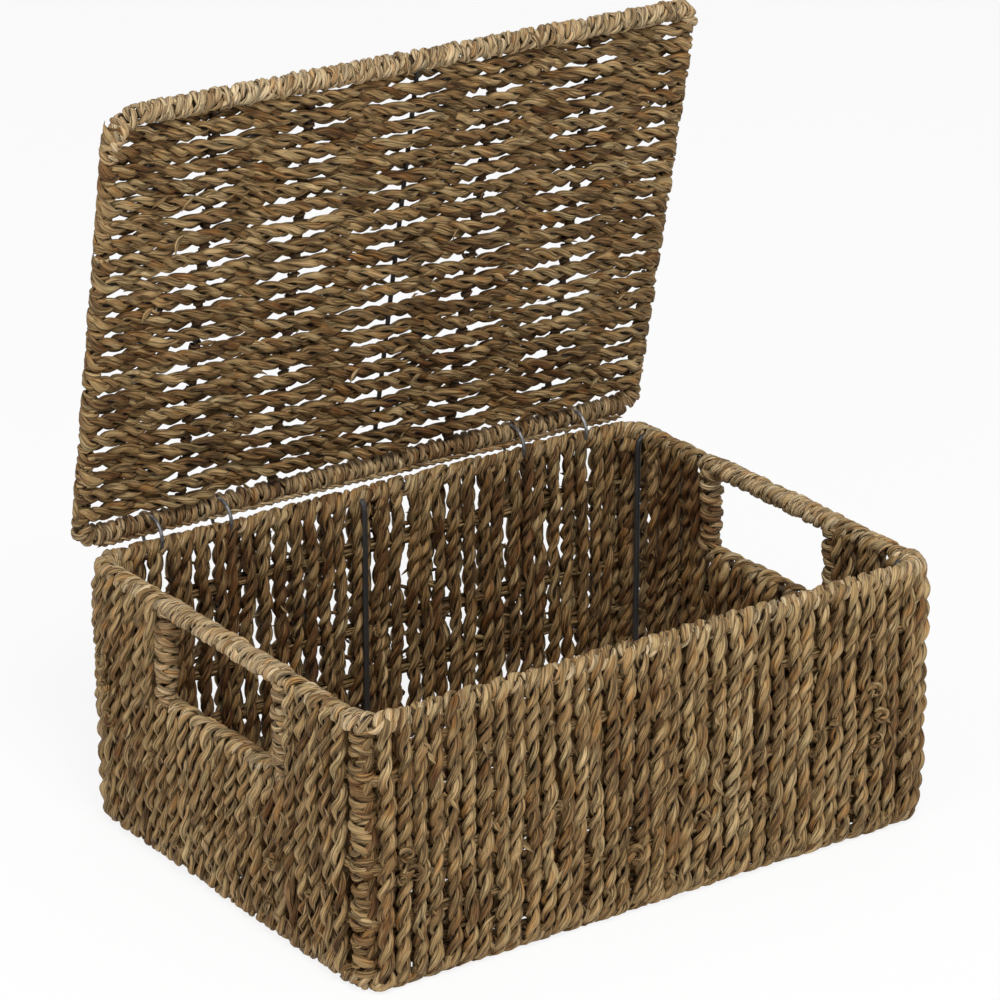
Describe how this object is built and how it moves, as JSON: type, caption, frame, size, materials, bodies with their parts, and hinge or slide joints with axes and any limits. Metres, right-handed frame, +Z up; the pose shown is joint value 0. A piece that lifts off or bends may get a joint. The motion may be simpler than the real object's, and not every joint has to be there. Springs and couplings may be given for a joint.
{
  "type": "woven lidded box",
  "caption": "Rectangular woven seagrass storage box on a wire frame, with bound handle openings in its short walls and a flat lid hinged on wire rings.",
  "frame": {"origin": "middle of the base on the resting face", "axes": "+X along the long side to the right, +Y from the front to the hinge side, +Z up"},
  "size_m": [0.4226, 0.3147, 0.4583],
  "materials": {
    "seagrass_weave": "matte twisted seagrass rope, tan with olive and brown strands",
    "seagrass_binding": "matte seagrass strands wound over wire, pale tan",
    "dark_steel_wire": "dark charcoal painted steel wire",
    "zinc_wire": "dull galvanised wire"
  },
  "bodies": {
    "basket": {"rim_wire": "dark_steel_wire", "base_wire": "dark_steel_wire", "low_waist_wire": "dark_steel_wire", "middle_waist_wire": "dark_steel_wire", "high_waist_wire_front": "dark_steel_wire", "high_waist_wire_back": "dark_steel_wire", "front_stay": "dark_steel_wire", "back_stay": "dark_steel_wire", "front_left_post": "dark_steel_wire", "front_right_post": "dark_steel_wire", "back_left_post": "dark_steel_wire", "back_right_post": "dark_steel_wire", "base_cross_wire_left": "dark_steel_wire", "base_cross_wire_middle": "dark_steel_wire", "base_cross_wire_right": "dark_steel_wire", "left_handle_frame": "dark_steel_wire", "right_handle_frame": "dark_steel_wire", "hinge_ring_outer_left": "zinc_wire", "hinge_ring_inner_left": "zinc_wire", "hinge_ring_inner_right": "zinc_wire", "hinge_ring_outer_right": "zinc_wire", "front_wall_weave": "seagrass_weave", "back_wall_weave": "seagrass_weave", "left_wall_weave": "seagrass_weave", "right_wall_weave": "seagrass_weave", "base_weave": "seagrass_weave", "front_base_edge_rope": "seagrass_weave", "back_base_edge_rope": "seagrass_weave", "left_base_edge_rope": "seagrass_weave", "right_base_edge_rope": "seagrass_weave", "front_rim_rope": "seagrass_binding", "back_rim_rope": "seagrass_binding", "left_handle_sill_rope": "seagrass_binding", "left_handle_front_jamb_rope": "seagrass_binding", "left_handle_back_jamb_rope": "seagrass_binding", "left_rim_front_rope": "seagrass_binding", "left_rim_back_rope": "seagrass_binding", "left_grip_winding": "seagrass_binding", "right_handle_sill_rope": "seagrass_binding", "right_handle_front_jamb_rope": "seagrass_binding", "right_handle_back_jamb_rope": "seagrass_binding", "right_rim_front_rope": "seagrass_binding", "right_rim_back_rope": "seagrass_binding", "right_grip_winding": "seagrass_binding", "front_left_corner_binding": "seagrass_binding", "front_right_corner_binding": "seagrass_binding", "back_left_corner_binding": "seagrass_binding", "back_right_corner_binding": "seagrass_binding"},
    "lid": {"lid_frame_wire": "dark_steel_wire", "lid_cross_wire_far_left": "dark_steel_wire", "lid_cross_wire_left": "dark_steel_wire", "lid_cross_wire_middle": "dark_steel_wire", "lid_cross_wire_right": "dark_steel_wire", "lid_cross_wire_far_right": "dark_steel_wire", "lid_weave": "seagrass_weave", "lid_front_bar_rope": "seagrass_binding", "lid_hinge_bar_rope": "seagrass_binding", "lid_left_edge_rope": "seagrass_binding", "lid_right_edge_rope": "seagrass_binding"}
  },
  "joints": [
    {"name": "lid_hinge", "type": "hinge", "parent": "basket", "child": "lid", "pos_m": [0, 0.15043, 0.17065], "axis": [1, 0, 0], "range_deg": [-78.5, 78.5]}
  ]
}
